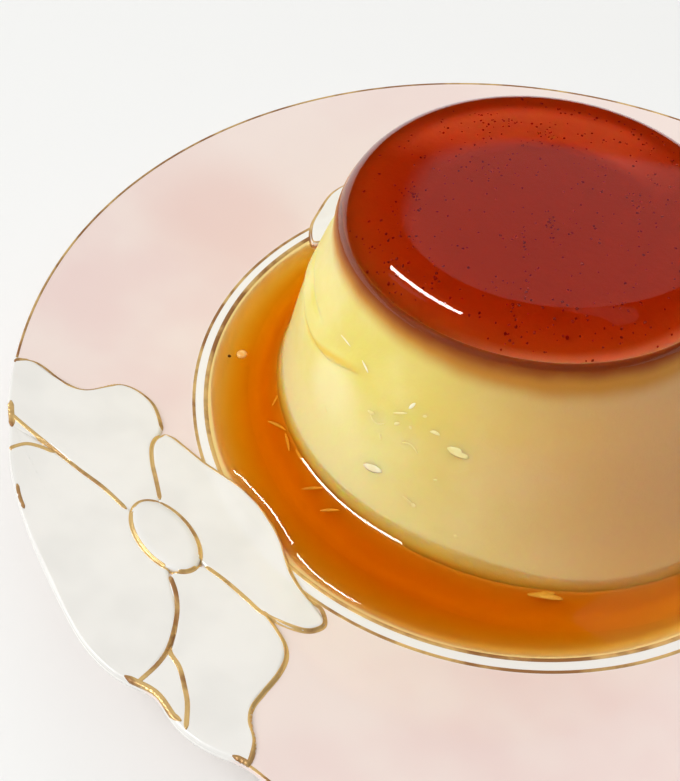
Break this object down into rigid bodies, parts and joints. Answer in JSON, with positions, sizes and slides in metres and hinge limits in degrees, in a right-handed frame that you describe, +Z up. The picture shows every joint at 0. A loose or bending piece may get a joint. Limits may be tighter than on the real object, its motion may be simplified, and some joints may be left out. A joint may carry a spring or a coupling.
{
  "type": "caramel pudding on a dessert plate",
  "caption": "Moulded custard pudding with a layer of clear set caramel on top, standing in caramel sauce in the well of a round porcelain dessert plate with raised blossoms.",
  "frame": {"origin": "on the table under the centre of the plate", "axes": "+Z up; -Y towards the viewer; the large blossom lies on the rim between -X and -Y"},
  "size_m": [0.152, 0.152, 0.0469],
  "materials": {
    "porcelain": "clear gloss glaze, pale pink rim, white well and blossoms, gilt lines",
    "custard": "soft moist set custard, pale lemon yellow",
    "set_caramel": "clear glossy red-brown jelly with fine dark vanilla specks",
    "caramel_sauce": "clear glossy golden to red-brown syrup"
  },
  "bodies": {
    "root": {"plate": "porcelain", "custard": "custard", "caramel_top": "set_caramel", "caramel_sauce": "caramel_sauce"}
  },
  "joints": []
}
